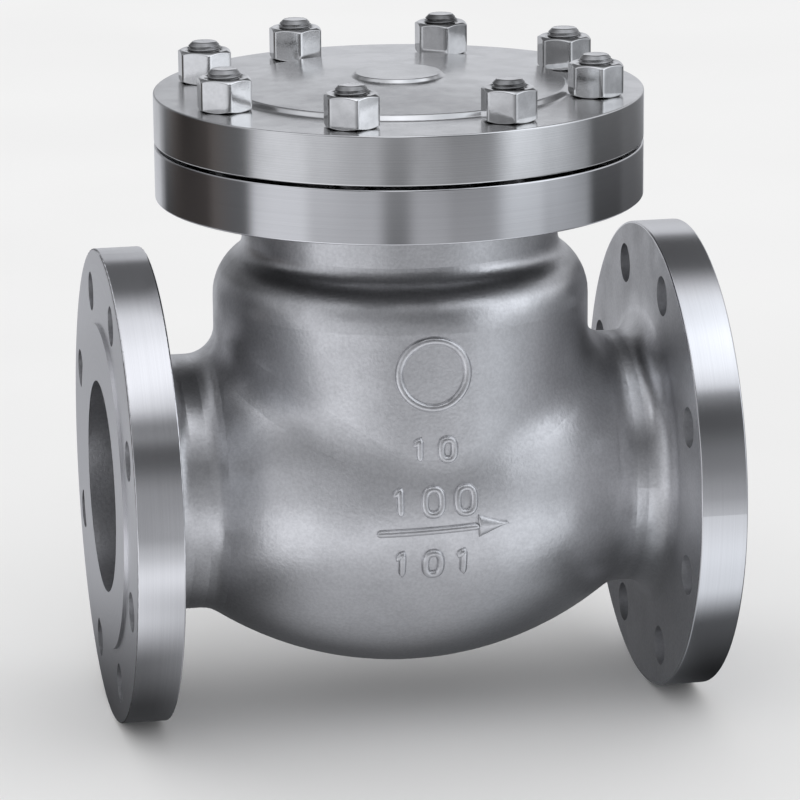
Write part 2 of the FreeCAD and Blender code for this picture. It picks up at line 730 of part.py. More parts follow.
def disc_nut():
    """Castle nut: hexagon, round crown and slots for the split pin."""
    hexed = hexagon(disc_nut_flats, disc_nut_hex_height, at_seat(nut_near, 0), seat_normal)
    crown = rod(disc_nut_crown_d, at_seat(nut_near, 0), seat_normal, nut_far - nut_near)
    nut = hexed.fuse(crown).removeSplitter()
    slot_foot = nut_far - disc_nut_crown_height
    slots = []
    for i in range(3):
        slot = block(0, disc_nut_crown_height + OVER, -disc_nut_flats, disc_nut_flats,
                     -disc_nut_slot / 2, disc_nut_slot / 2)
        slot.rotate(Vector(), X_AXIS, 60 * i)
        slots.append(placed(slot, at_seat(slot_foot, 0), seat_normal))
    bore = rod(stem_thread_d + 2 * thread_clearance, at_seat(nut_near, 0), seat_normal, nut_far - nut_near)
    return nut.cut(slots + [bore])


def disc_cotter():
    return split_pin(cotter_d, disc_nut_crown_d + 1.5 * cotter_d, disc_cotter_middle(), Y_AXIS, seat_normal)


PIECES = {
    "valve_body": valve_body,
    "cover": cover,
    "cover_gasket": cover_gasket,
    "cover_studs": lambda: stud_row(stud),
    "cover_nuts": lambda: stud_row(cover_nut),
    "seat_ring": seat_ring,
    "hinge_bracket": hinge_bracket,
    "bracket_bolts": bracket_bolts,
    "bracket_lock_washers": bracket_lock_washers,
    "hinge_pin": hinge_pin,
    "hinge_pin_washer": hinge_pin_washer,
    "hinge_pin_cotter": hinge_pin_cotter,
    "arm_bush_left": lambda: arm_bush(1),
    "arm_bush_right": lambda: arm_bush(-1),
    "hinge_arm": hinge_arm,
    "disc": disc,
    "disc_washer": disc_washer,
    "disc_nut": disc_nut,
    "disc_cotter": disc_cotter,
}

os.makedirs("parts", exist_ok=True)
for name, make in PIECES.items():
    shape = make()
    shape.exportStep("parts/" + name + ".step")
    print(name, len(shape.Solids), shape.isValid(), round(shape.Volume))
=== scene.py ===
"""Swing check valve: its finishes, cast marks, nuts and threads, with a camera and a studio."""

import math

import bmesh
import bpy
from mathutils import Matrix, Vector
from mathutils.bvhtree import BVHTree

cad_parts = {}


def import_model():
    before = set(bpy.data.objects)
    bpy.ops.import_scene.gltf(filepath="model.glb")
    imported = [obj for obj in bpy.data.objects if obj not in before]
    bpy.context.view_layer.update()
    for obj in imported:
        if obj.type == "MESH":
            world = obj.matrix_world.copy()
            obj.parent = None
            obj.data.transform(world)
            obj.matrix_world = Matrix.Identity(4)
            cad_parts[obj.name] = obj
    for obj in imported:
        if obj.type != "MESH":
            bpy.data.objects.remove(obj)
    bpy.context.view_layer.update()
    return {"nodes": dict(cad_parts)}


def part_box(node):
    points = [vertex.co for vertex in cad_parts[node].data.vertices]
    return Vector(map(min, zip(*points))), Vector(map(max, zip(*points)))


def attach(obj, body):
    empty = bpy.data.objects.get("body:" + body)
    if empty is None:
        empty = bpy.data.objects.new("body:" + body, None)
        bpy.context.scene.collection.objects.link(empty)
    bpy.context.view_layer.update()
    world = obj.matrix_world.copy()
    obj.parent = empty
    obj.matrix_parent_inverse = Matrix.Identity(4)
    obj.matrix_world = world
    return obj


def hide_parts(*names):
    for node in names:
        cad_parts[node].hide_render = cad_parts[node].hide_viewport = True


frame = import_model()
nodes = frame["nodes"]
MM = 0.001
WHITE = (1.0, 1.0, 1.0)

# Places worked out from the frame
body_low, body_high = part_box("valve_body")
cover_low, cover_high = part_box("cover")
nut_low, nut_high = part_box("cover_nuts")
stud_low, stud_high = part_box("cover_studs")
CENTRE_X = (body_low.x + body_high.x) / 2
HALF_LENGTH = (body_high.x - body_low.x) / 2
BONNET_X = (cover_low.x + cover_high.x) / 2
FLOOR_Z = body_low.z
BONNET_TOP = body_high.z

# Camera, fitted to the photograph
CAMERA_AZIMUTH = math.radians(-10.973)
CAMERA_ELEVATION = math.radians(14.923)
CAMERA_ROLL = math.radians(-0.5)
CAMERA_DISTANCE = 2.1223
CAMERA_TARGET = Vector((CENTRE_X + 0.62 * MM, 0.0, 34.19 * MM))
CAMERA_LENS = 196.55
CAMERA_SENSOR = 36.0

# Where the casting is machined. FACE_TOLERANCE keeps a face's own points on its side of a limit.
FLANGE_DEPTH = 24.0 * MM
RAISED_FACE_DEPTH = 1.6 * MM
RIM_R = 113.4 * MM
BORE_R = 51.0 * MM
BONNET_RIM_R = 116.1 * MM
BONNET_UNDERSIDE = 137.6 * MM
BONNET_TOP_DEPTH = 3.5 * MM
FACE_TOLERANCE = 0.1 * MM

# Finish of the casting, with painted shade under the bonnet flange and round the neck's foot. A pair is the
# value at the low and the high side of the noise that drives it.
NOISE_LOW, NOISE_HIGH = 0.3, 0.7
CAST_TINT = (0.985, 0.985, 1.0)
CAST_LIGHTNESS = (0.64, 0.70)
CAST_ROUGHNESS = (0.36, 0.29)
GRAIN_SHADE = (-0.045, 0.045)
GRAIN_HEIGHT, WAVE_HEIGHT, PITS_HEIGHT = 0.26, 0.9, 0.22
BUMP_DISTANCE = 0.35 * MM
# Painted shade: the lightness given to the bonnet flange's flat underside, dark in place of the shadow that
# falls there
UNDERSIDE_PAINTED_SHADE = 0.1
BACK_FACE_FROM, BACK_FACE_TO = 68.0 * MM, 84.0 * MM
BACK_FACE_LIGHT = 0.9
BACK_FACE_ROUGHER = 0.12
# Painted shade: a darker band round the foot of the neck, in the groove under the bonnet flange, stands in for
# the shade there. These give its height, half height, reach from the bonnet axis, soft edge and lightness.
NECK_FOOT = 105.5 * MM
NECK_FOOT_HALF = 5.5 * MM
NECK_FOOT_R = 92.0 * MM
NECK_FOOT_EDGE = 4 * MM
NECK_FOOT_PAINTED_SHADE = 0.72

# Finish of turned metal: its lines across the cut, in lines per metre, and what they do
FINE_LINES, COARSE_LINES = 2600.0, 420.0
RIM_LIGHTNESS = (0.69, 0.72)
RIM_SHADE = (-0.01, 0.01)
RIM_FINE_HEIGHT, RIM_COARSE_HEIGHT = 0.012, 0.006
RIM_ROUGHNESS, BONNET_RIM_ROUGHNESS, FACE_ROUGHNESS = 0.17, 0.12, 0.34
END_FACE_LIGHT = 1.12
TURNED_SPREAD = 0.03
TURNED_SHADE = (-0.02, 0.02)
TURNED_ROUGHER = (0.03, -0.03)
TURNED_FACE_ROUGHER = 0.1
TURNED_FINE_HEIGHT, TURNED_COARSE_HEIGHT = 0.022, 0.012

# Cast marks on the front of the body, as (x, z) from the bonnet axis and the pipe axis
MARK_RISE = 2.1 * MM
MARK_FOOT = 0.4 * MM
MARK_SECTION = ((-1.0, -1.0), (-0.95, 0.18), (-0.8, 0.55), (-0.5, 0.87), (0.0, 1.0),
                (0.5, 0.87), (0.8, 0.55), (0.95, 0.18), (1.0, -1.0))
STROKE_STEP = 0.7 * MM
LOOP_STEP = 0.9 * MM
RING_PLACE = (-0.8 * MM, 70.0 * MM)
RING_R = 16.2 * MM
RING_WIDTH = 4.2 * MM
DIGIT_WIDTH = 0.76
DIGIT_PITCH = 0.97
DIGIT_STROKE = 4.0 * MM
DIGIT_ROUNDNESS = 2.6
NUMBERS = (("10", (-1.0 * MM, 33.5 * MM), 13.6 * MM), ("100", (-1.8 * MM, 9.0 * MM), 16.0 * MM),
           ("101", (-1.8 * MM, -21.5 * MM), 15.0 * MM))
ARROW_TAIL = (-28.5 * MM, -5.6 * MM)
ARROW_NECK = (20.0 * MM, -4.1 * MM)
ARROW_TIP = (34.2 * MM, -3.7 * MM)
ARROW_WIDTH = 3.8 * MM
ARROW_HEAD_WIDTH = 11.5 * MM
ARROW_HEAD_STEP = 0.6 * MM

# Nuts and studs
STUD_COUNT = 8
NUT_FLATS = 24.0 * MM
NUT_CAP_R = NUT_FLATS * 0.475
NUT_CORNER = 0.22 * MM
NUT_EDGE = 0.12 * MM
NUT_CAP_DROP = 0.02 * MM
NUT_LOW_BEVEL, NUT_HIGH_BEVEL = 0.4 * MM, 0.7 * MM
NUT_SIDES = 144
NUT_SHARES = (0.0, 0.02, 0.06, 0.12, 0.5, 0.88, 0.94, 0.98, 1.0)
NUT_CHAMFER = math.tan(math.radians(30))
STUD_R = 8.0 * MM
STUD_SIDES = 48
STUD_FOOT_CHAMFER = 1.0 * MM
STUD_TOP_CHAMFER = 2.2 * MM
STUD_DISH = 0.35 * MM
STUD_DISH_SHARE = 0.55
THREAD_PITCH = 2.0 * MM
THREAD_DEPTH = 1.1 * MM
THREAD_STEPS = 12
THREAD_CLEARANCE = 0.05 * MM


class Nodes:
    """Adds shader nodes to one tree and joins them."""

    def __init__(self, tree):
        self.tree = tree
        tree.nodes.clear()

    def add(self, kind, **settings):
        node = self.tree.nodes.new(kind)
        for name, value in settings.items():
            setattr(node, name, value)
        return node

    def join(self, source, target):
        self.tree.links.new(source, target)

    def put(self, socket, value):
        """Sets a socket to a number or colour, or joins an output to it."""
        if isinstance(value, (int, float, tuple)):
            socket.default_value = value
        else:
            self.join(value, socket)

    def math(self, operation, *values):
        node = self.add("ShaderNodeMath", operation=operation)
        for socket, value in zip(node.inputs, values):
            self.put(socket, value)
        return node.outputs[0]

    def plus(self, a, b):
        return self.math("ADD", a, b)

    def minus(self, a, b):
        return self.math("SUBTRACT", a, b)

    def times(self, a, b):
        return self.math("MULTIPLY", a, b)

    def above(self, value, limit):
        """1 where a value is above a limit, and 0 elsewhere."""
        return self.math("GREATER_THAN", value, limit)

    def below(self, value, limit):
        return self.math("LESS_THAN", value, limit)

    def most(self, a, b):
        return self.math("MAXIMUM", a, b)

    def distance(self, value, place):
        """How far a value lies from a place, to either side."""
        return self.math("ABSOLUTE", self.minus(value, place))

    def ramp(self, value, low, high, to_low=0.0, to_high=1.0):
        """Smooth step of a value between two limits."""
        node = self.add("ShaderNodeMapRange", interpolation_type="SMOOTHSTEP")
        self.put(node.inputs["Value"], value)
        node.inputs["From Min"].default_value = low
        node.inputs["From Max"].default_value = high
        node.inputs["To Min"].default_value = to_low
        node.inputs["To Max"].default_value = to_high
        return node.outputs["Result"]

    def spread(self, noise, low, high):
        """A noise spread over a range of values."""
        return self.ramp(noise, NOISE_LOW, NOISE_HIGH, low, high)

    def mix(self, factor, a, b):
        node = self.add("ShaderNodeMix", data_type="FLOAT")
        self.put(node.inputs[0], factor)
        self.put(node.inputs[2], a)
        self.put(node.inputs[3], b)
        return node.outputs[0]

    def mix_colour(self, factor, a, b):
        node = self.add("ShaderNodeMix", data_type="RGBA")
        self.put(node.inputs[0], factor)
        self.put(node.inputs[6], a)
        self.put(node.inputs[7], b)
        return node.outputs[2]

    def noise(self, vector, scale, detail, roughness=0.5):
        node = self.add("ShaderNodeTexNoise")
        self.put(node.inputs["Vector"], vector)
        node.inputs["Scale"].default_value = scale
        node.inputs["Detail"].default_value = detail
        node.inputs["Roughness"].default_value = roughness
        return node.outputs["Fac"]

    def lines(self, distance, scale, detail):
        """Uneven turning lines along one distance."""
        node = self.add("ShaderNodeTexNoise", noise_dimensions="1D")
        self.put(node.inputs["W"], distance)
        node.inputs["Scale"].default_value = scale
        node.inputs["Detail"].default_value = detail
        return node.outputs["Fac"]

    def bump(self, height, distance):
        node = self.add("ShaderNodeBump")
        self.put(node.inputs["Height"], height)
        node.inputs["Distance"].default_value = distance
        return node.outputs["Normal"]

    def grey(self, value, tint=WHITE):
        """A colour of one lightness with a tint."""
        node = self.add("ShaderNodeVectorMath", operation="SCALE")
        node.inputs[0].default_value = tint
        self.put(node.inputs["Scale"], value)
        return node.outputs[0]

    def finish(self, shader, kind="ShaderNodeOutputMaterial"):
        self.join(shader.outputs[0], self.add(kind).inputs["Surface"])


def new_material(name):
    material = bpy.data.materials.new(name)
    material.use_nodes = True
    return material, Nodes(material.node_tree)


def parts(n, vector):
    """The three parts of a vector."""
    split = n.add("ShaderNodeSeparateXYZ")
    n.join(vector, split.inputs[0])
    return split.outputs


def coordinates(n):
    return n.add("ShaderNodeTexCoord").outputs["Object"]


def radius(n, a, b):
    """Distance from an axis, from the two coordinates across it."""
    return n.math("SQRT", n.plus(n.times(a, a), n.times(b, b)))


def metal(n, lightness, roughness, normal, tint=WHITE):
    shader = n.add("ShaderNodeBsdfPrincipled")
    shader.inputs["Metallic"].default_value = 1.0
    n.put(shader.inputs["Base Color"], n.grey(lightness, tint))
    n.put(shader.inputs["Roughness"], roughness)
    n.join(normal, shader.inputs["Normal"])
    n.finish(shader)


def turning(n, distance):
    """The fine and the coarse lines that a cutting tool leaves along a distance."""
    return n.lines(distance, FINE_LINES, 4.0), n.lines(distance, COARSE_LINES, 2.0)


def cast_surface(n, at):
    """Lightness, roughness and height of a bead-blasted casting."""
    mottle = n.noise(at, 45.0, 4.0, 0.55)
    grain = n.noise(at, 620.0, 3.0, 0.65)
    pits = n.noise(at, 170.0, 2.0)
    wave = n.noise(at, 28.0, 2.0, 0.4)
    lightness = n.plus(n.spread(mottle, *CAST_LIGHTNESS), n.spread(grain, *GRAIN_SHADE))
    roughness = n.spread(mottle, *CAST_ROUGHNESS)
    height = n.plus(n.times(grain, GRAIN_HEIGHT), n.times(wave, WAVE_HEIGHT))
    height = n.plus(height, n.times(pits, PITS_HEIGHT))
    return lightness, roughness, height


def body_material():
    """Blasted casting whose flange rims, end faces, bonnet rim and bonnet top are turned, with painted shade
    under the bonnet flange and round the neck's foot.
    """
    material, n = new_material("blasted_casting")
    at = coordinates(n)
    x, y, z = parts(n, at)
    out = n.distance(x, CENTRE_X)
    pipe_r = radius(n, y, z)
    bonnet_r = radius(n, n.minus(x, BONNET_X), y)

    # Its places, each 1 inside and 0 outside
    in_flange = n.above(out, HALF_LENGTH - FLANGE_DEPTH - 1.5 * FACE_TOLERANCE)
    rim = n.times(in_flange, n.above(pipe_r, RIM_R))
    end = n.above(out, HALF_LENGTH - RAISED_FACE_DEPTH - FACE_TOLERANCE)
    face = n.times(end, n.above(pipe_r, BORE_R + 2 * FACE_TOLERANCE))
    back_face = n.times(in_flange, n.ramp(pipe_r, BACK_FACE_FROM, BACK_FACE_TO))
    in_bonnet = n.above(z, BONNET_UNDERSIDE - FACE_TOLERANCE)
    # Painted shade mask: the flat underside of the bonnet flange
    painted_shade_underside = n.times(in_bonnet, n.below(z, BONNET_UNDERSIDE + FACE_TOLERANCE))
    bonnet_rim = n.times(in_bonnet, n.above(bonnet_r, BONNET_RIM_R))
    bonnet = n.most(bonnet_rim, n.above(z, BONNET_TOP - BONNET_TOP_DEPTH))
    machined = n.most(n.most(rim, face), bonnet)
    # Painted shade mask: a band round the neck's foot
    neck_foot_painted_shade = n.ramp(n.distance(z, NECK_FOOT), NECK_FOOT_HALF * 0.3, NECK_FOOT_HALF, 1.0, 0.0)
    neck_foot_painted_shade = n.times(neck_foot_painted_shade, n.ramp(bonnet_r, NECK_FOOT_R, NECK_FOOT_R + NECK_FOOT_EDGE, 1.0, 0.0))

    # The blasted surface, with painted shade on the bonnet flange's underside and round the neck's foot
    light, rough, height = cast_surface(n, at)
    # Painted shade: the bonnet flange's underside is set dark
    light = n.mix(painted_shade_underside, light, UNDERSIDE_PAINTED_SHADE)
    # Painted shade: the neck's foot is darkened
    light = n.times(light, n.mix(neck_foot_painted_shade, 1.0, NECK_FOOT_PAINTED_SHADE))
    light = n.times(light, n.mix(back_face, 1.0, BACK_FACE_LIGHT))
    rough = n.plus(rough, n.times(back_face, BACK_FACE_ROUGHER))

    # The turned surface
    fine, coarse = turning(n, n.mix(face, n.mix(bonnet, x, z), pipe_r))
    turned_height = n.plus(n.times(fine, RIM_FINE_HEIGHT), n.times(coarse, RIM_COARSE_HEIGHT))
    turned_light = n.plus(n.spread(fine, *RIM_LIGHTNESS), n.spread(coarse, *RIM_SHADE))
    turned_light = n.times(turned_light, n.mix(end, 1.0, END_FACE_LIGHT))
    turned_rough = n.mix(face, n.mix(bonnet, RIM_ROUGHNESS, BONNET_RIM_ROUGHNESS), FACE_ROUGHNESS)

    normal = n.bump(n.mix(machined, height, turned_height), BUMP_DISTANCE)
    metal(n, n.mix(machined, light, turned_light), n.mix(machined, rough, turned_rough), normal, CAST_TINT)
    return material


def cast_material():
    """Blasted casting all over."""
    material, n = new_material("blasted_marks")
    lightness, roughness, height = cast_surface(n, coordinates(n))
    metal(n, lightness, roughness, n.bump(height, BUMP_DISTANCE), CAST_TINT)
    return material


def turned_material(name, axis, lightness, roughness):
    """Turned metal: lines along one axis on its sides and round it on its faces."""
    material, n = new_material(name)
    at = coordinates(n)
    x, y, z = parts(n, at)
    if axis == "Z":
        along, around = z, radius(n, n.minus(x, BONNET_X), y)
    else:
        along, around = x, radius(n, y, z)
    normal = parts(n, n.add("ShaderNodeNewGeometry").outputs["Normal"])
    flat = n.ramp(n.math("ABSOLUTE", normal[axis]), 0.5, 0.8)
    fine, coarse = turning(n, n.mix(flat, along, around))
    mottle = n.noise(at, 60.0, 4.0, 0.6)
    light = n.spread(fine, lightness - TURNED_SPREAD, lightness + TURNED_SPREAD)
    light = n.plus(light, n.spread(mottle, *TURNED_SHADE))
    rough = n.mix(flat, roughness, roughness + TURNED_FACE_ROUGHER)
    rough = n.plus(n.spread(mottle, *TURNED_ROUGHER), rough)
    height = n.plus(n.times(fine, TURNED_FINE_HEIGHT), n.times(coarse, TURNED_COARSE_HEIGHT))
    metal(n, light, rough, n.bump(height, BUMP_DISTANCE))
    return material


def bright_material(name, lightness, roughness, tint=WHITE):
    """Bright small metal parts, with faint scuffs and duller patches."""
    material, n = new_material(name)
    at = coordinates(n)
    scuff = n.noise(at, 320.0, 5.0, 0.65)
    cloud = n.noise(at, 42.0, 2.0)
    light = n.plus(n.spread(scuff, -0.03, 0.03), n.ramp(cloud, 0.35, 0.62, lightness - 0.2, lightness + 0.06))
    rough = n.spread(cloud, roughness - 0.04, roughness + 0.06)
    metal(n, light, rough, n.bump(scuff, 0.03 * MM), tint)
    return material


def gasket_material():
    """Dark fibrous graphite sheet."""
    material, n = new_material("graphite_sheet")
    fibre = n.noise(coordinates(n), 500.0, 4.0, 0.6)
    shader = n.add("ShaderNodeBsdfPrincipled")
    n.join(n.grey(n.spread(fibre, 0.015, 0.03)), shader.inputs["Base Color"])
    shader.inputs["Roughness"].default_value = 0.75
    n.join(n.bump(fibre, 0.05 * MM), shader.inputs["Normal"])
    n.finish(shader)
    return material


def dress(names, material):
    """Gives CAD nodes a material through their objects' slots."""
    for name in names:
        for slot in nodes[name].material_slots:
            slot.link = "OBJECT"
            slot.material = material


def mesh_piece(name, vertices, faces, material):
    """A new mesh piece that rides on the body."""
    mesh = bpy.data.meshes.new(name)
    mesh.from_pydata([tuple(v) for v in vertices], [], faces)
    mesh.validate()
    for polygon in mesh.polygons:
        polygon.use_smooth = True
    mesh.materials.append(material)
    piece = bpy.data.objects.new(name, mesh)
    bpy.context.scene.collection.objects.link(piece)
    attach(piece, "valve_body")
    return piece


def body_surface():
    """Finds the front of the casting at an x and z, with its outward normal."""
    mesh = nodes["valve_body"].data
    tree = BVHTree.FromPolygons([v.co for v in mesh.vertices], [tuple(p.vertices) for p in mesh.polygons])

    def front(x, z):
        start = Vector((CENTRE_X + x, body_low.y - 0.1, z))
        point, normal, _, _ = tree.ray_cast(start, Vector((0, 1, 0)))
        if normal.y > 0:
            normal = -normal
        return point, normal

    return front


def path_points(corners, step):
    """Points along a line through corners, at about one spacing."""
    path = []
    for start, end in zip(corners, corners[1:]):
        a, b = Vector(start), Vector(end)
        count = max(1, round((b - a).length / step))
        path += [a.lerp(b, k / count) for k in range(count)]
    return path + [Vector(corners[-1])]


def raised_band(name, points, widths, closed, front, material):
    """A cast ridge with a soft section, laid along a path on the casting's front."""
    vertices, faces = [], []
    last = len(points) - 1
    for i, point in enumerate(points):
        before = points[i - 1] if closed or i else points[i]
        after = points[(i + 1) % len(points)] if closed or i < last else points[i]
        ahead = (after - before).normalized()
        across = Vector((-ahead.y, ahead.x))
        for side, rise in MARK_SECTION:
            at = point + across * side * widths[i] / 2
            foot, normal = front(at.x, at.y)
            height = MARK_RISE * rise if rise > 0 else -MARK_FOOT
            vertices.append(foot + normal * height)
    ring = len(MARK_SECTION)
    for i in range(len(points) if closed else last):
        j = (i + 1) % len(points)
        for k in range(ring - 1):
            faces.append((i * ring + k, j * ring + k, j * ring + k + 1, i * ring + k + 1))
    if not closed:
        faces.append(tuple(range(ring)))
        faces.append(tuple(reversed(range(last * ring, (last + 1) * ring))))
    mesh_piece(name, vertices, faces, material)


def rounded(width, share):
    """Width of a stroke near a round end, from the distance to the end as a share of the half width."""
    return width * math.sqrt(max(0.05, 1 - max(0.0, 1 - share) ** 2))


def stroke(name, corners, width, front, material):
    """An open raised stroke with rounded ends."""
    path = path_points(corners, STROKE_STEP)
    widths = []
    for point in path:
        end = min((point - path[0]).length, (point - path[-1]).length)
        widths.append(rounded(width, end / (width / 2)))
    raised_band(name, path, widths, False, front, material)


def loop_band(name, centre, half_width, half_height, power, width, front, material):
    """A closed raised band round a superellipse."""
    count = max(48, round((half_width + half_height) * 4 / LOOP_STEP))
    path = []
    for i in range(count):
        turn = 2 * math.pi * i / count
        c, s = math.cos(turn), math.sin(turn)
        x = math.copysign(abs(c) ** (2 / power), c) * half_width
        z = math.copysign(abs(s) ** (2 / power), s) * half_height
        path.append(Vector((centre[0] + x, centre[1] + z)))
    raised_band(name, path, [width] * count, True, front, material)


def number(name, text, centre, height, front, material):
    """A row of plain noughts and ones."""
    x, z = centre
    inset = DIGIT_STROKE / 2
    half_width, half_height = DIGIT_WIDTH * height / 2 - inset, height / 2 - inset
    top, bottom = z + height / 2 - inset, z - height / 2 + inset
    for i, digit in enumerate(text):
        piece = f"{name}_{i}"
        at = x + (i - (len(text) - 1) / 2) * DIGIT_PITCH * height
        if digit == "0":
            loop_band(piece, (at, z), half_width, half_height, DIGIT_ROUNDNESS, DIGIT_STROKE, front, material)
        else:
            corners = [(at - 0.2 * height, top - 0.17 * height), (at, top), (at, bottom)]
            stroke(piece, corners, DIGIT_STROKE, front, material)


def cast_marks(material):
    """A plain ring, three plain numbers and the flow arrow, as raised on the casting."""
    front = body_surface()
    loop_band("mark_ring", RING_PLACE, RING_R, RING_R, 2.0, RING_WIDTH, front, material)
    for i, (text, centre, height) in enumerate(NUMBERS):
        number(f"mark_number_{i}", text, centre, height, front, material)
    stroke("mark_arrow_shaft", [ARROW_TAIL, ARROW_NECK], ARROW_WIDTH, front, material)
    head = path_points([ARROW_NECK, ARROW_TIP], ARROW_HEAD_STEP)
    length = (head[-1] - head[0]).length
    widths = [ARROW_HEAD_WIDTH * max(0.08, (head[-1] - point).length / length) for point in head]
    raised_band("mark_arrow_head", head, widths, False, front, material)


def solid_centres(name):
    """The x, y and turn of each solid of a node of eight like fasteners."""
    bm = bmesh.new()
    bm.from_mesh(nodes[name].data)
    bmesh.ops.remove_doubles(bm, verts=bm.verts, dist=0.001 * MM)
    left, centres = set(bm.verts), []
    while left:
        island, edge = set(), [left.pop()]
        while edge:
            vertex = edge.pop()
            island.add(vertex)
            for link in vertex.link_edges:
                other = link.other_vert(vertex)
                if other in left:
                    left.discard(other)
                    edge.append(other)
        low = Vector((min(v.co.x for v in island), min(v.co.y for v in island)))
        high = Vector((max(v.co.x for v in island), max(v.co.y for v in island)))
        middle = (low + high) / 2
        farthest = max(island, key=lambda v: (v.co.xy - middle).length)
        ray = farthest.co.xy - middle
        centres.append((middle.x, middle.y, math.atan2(ray.y, ray.x)))
    bm.free()
    if len(centres) != STUD_COUNT:
        raise ValueError(f"{name}: {len(centres)} solids")
    return sorted(centres)


def hexagon_radius(turn):
    """Radius of the nut's hexagon, with slightly rounded corners, the first at turn 0."""
    sector = (turn + math.pi / 6) % (math.pi / 3) - math.pi / 6
    flat = NUT_FLATS / 2 / math.cos(math.pi / 6 - abs(sector))
    soft_from = NUT_FLATS / math.sqrt(3) - 2 * NUT_CORNER
    return flat if flat < soft_from else soft_from + (flat - soft_from) * 0.35


def nut_section(r, bore, height):
    """Points round the nut's cut at one turn, as (distance from the axis, height)."""
    drop = max(0.0, r - NUT_CAP_R) * NUT_CHAMFER
    side = height - 2 * drop - 2 * NUT_EDGE
    section = [(bore, NUT_LOW_BEVEL), (bore + NUT_LOW_BEVEL, 0.0), (NUT_CAP_R * 0.97, 0.0),
               (NUT_CAP_R, NUT_CAP_DROP), (r - NUT_EDGE, drop * 0.96 + NUT_CAP_DROP)]
    section += [(r, drop + NUT_EDGE + side * share) for share in NUT_SHARES]
    section += [(r - NUT_EDGE, height - drop * 0.96 - NUT_CAP_DROP), (NUT_CAP_R, height - NUT_CAP_DROP),
                (NUT_CAP_R * 0.97, height), (bore + NUT_HIGH_BEVEL, height), (bore, height - NUT_HIGH_BEVEL)]
    return section


def nut_mesh(x, y, turn):
    """Vertices and faces of a chamfered hexagon nut with softened corners."""
    bore, height = STUD_R + THREAD_CLEARANCE, nut_high.z - nut_low.z
    vertices, faces = [], []
    for k in range(NUT_SIDES):
        a = 2 * math.pi * k / NUT_SIDES
        c, s = math.cos(a + turn), math.sin(a + turn)
        section = nut_section(hexagon_radius(a), bore, height)
        vertices += [Vector((x + c * r, y + s * r, nut_low.z + z)) for r, z in section]
    size = len(section)
    for k in range(NUT_SIDES):
        j = (k + 1) % NUT_SIDES
        for m in range(size):
            q = (m + 1) % size
            faces.append((k * size + m, j * size + m, j * size + q, k * size + q))
    return vertices, faces


def thread_radius(z, share, high):
    """Radius of the stud's thread at a height and a share of a turn, chamfered at its top."""
    phase = (z / THREAD_PITCH - share) % 1.0
    depth = abs(2 * phase - 1) * 1.25 - 0.12
    r = STUD_R - THREAD_DEPTH * min(1.0, max(0.0, depth))
    return min(r, STUD_R - STUD_TOP_CHAMFER + (high - z))


def stud_mesh(x, y, _):
    """A stud with a helical thread at its top and a plain shank below. The last faces are its end's."""
    low, high, around = stud_low.z, stud_high.z, STUD_SIDES
    thread_from = nut_high.z - 2 * THREAD_PITCH
    steps = round((high - thread_from) / (THREAD_PITCH / THREAD_STEPS))
    rows = [(low, STUD_R - STUD_FOOT_CHAMFER), (low + STUD_FOOT_CHAMFER, STUD_R), (thread_from, STUD_R)]
    rows += [(thread_from + (high - thread_from) * (i + 1) / steps, None) for i in range(steps)]
    vertices, faces = [], []
    for z, plain_r in rows:
        for k in range(around):
            a = 2 * math.pi * k / around
            r = plain_r or thread_radius(z, k / around, high)
            vertices.append(Vector((x + r * math.cos(a), y + r * math.sin(a), z)))
    for i in range(len(rows) - 1):
        for k in range(around):
            j = (k + 1) % around
            faces.append((i * around + k, i * around + j, (i + 1) * around + j, (i + 1) * around + k))
    faces.append(tuple(reversed(range(around))))
    dish = len(vertices)
    top = (len(rows) - 1) * around
    vertices += [Vector((x + (v.x - x) * STUD_DISH_SHARE, y + (v.y - y) * STUD_DISH_SHARE, high))
                 for v in vertices[top:top + around]]
    vertices.append(Vector((x, y, high - STUD_DISH)))
    for k in range(around):
        j = (k + 1) % around
        faces.append((top + k, top + j, dish + j, dish + k))
        faces.append((dish + k, dish + j, dish + around))
    return vertices, faces


def fasteners(name, node, make, material):
    """One piece with a fastener in the place of each solid of a node, which it replaces."""
    vertices, faces = [], []
    for x, y, turn in solid_centres(node):
        v, f = make(x, y, turn)
        faces += [tuple(i + len(vertices) for i in face) for face in f]
        vertices += v
    piece = mesh_piece(name, vertices, faces, material)
    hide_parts(node)
    return piece


def cover_studs(thread, end):
    """The studs, with a bright end on each dark thread."""
    piece = fasteners("threaded_studs", "cover_studs", stud_mesh, thread)
    piece.data.materials.append(end)
    polygons = piece.data.polygons
    each = len(polygons) // STUD_COUNT
    for index, polygon in enumerate(polygons):
        if index % each >= each - 2 * STUD_SIDES:
            polygon.material_index = 1


def camera():
    """The photograph's view."""
    a, e = CAMERA_AZIMUTH, CAMERA_ELEVATION
    back = Vector((math.sin(a) * math.cos(e), -math.cos(a) * math.cos(e), math.sin(e)))
    right = Vector((math.cos(a), math.sin(a), 0.0))
    up = back.cross(right)
    c, s = math.cos(CAMERA_ROLL), math.sin(CAMERA_ROLL)
    right, up = right * c + up * s, up * c - right * s
    data = bpy.data.cameras.new("camera")
    data.sensor_width = CAMERA_SENSOR
    data.lens = CAMERA_LENS
    data.clip_end = 100.0
    holder = bpy.data.objects.new("camera", data)
    bpy.context.scene.collection.objects.link(holder)
    turn = Matrix((right, up, back)).transposed().to_4x4()
    holder.matrix_world = Matrix.Translation(CAMERA_TARGET + back * CAMERA_DISTANCE) @ turn
    bpy.context.scene.camera = holder


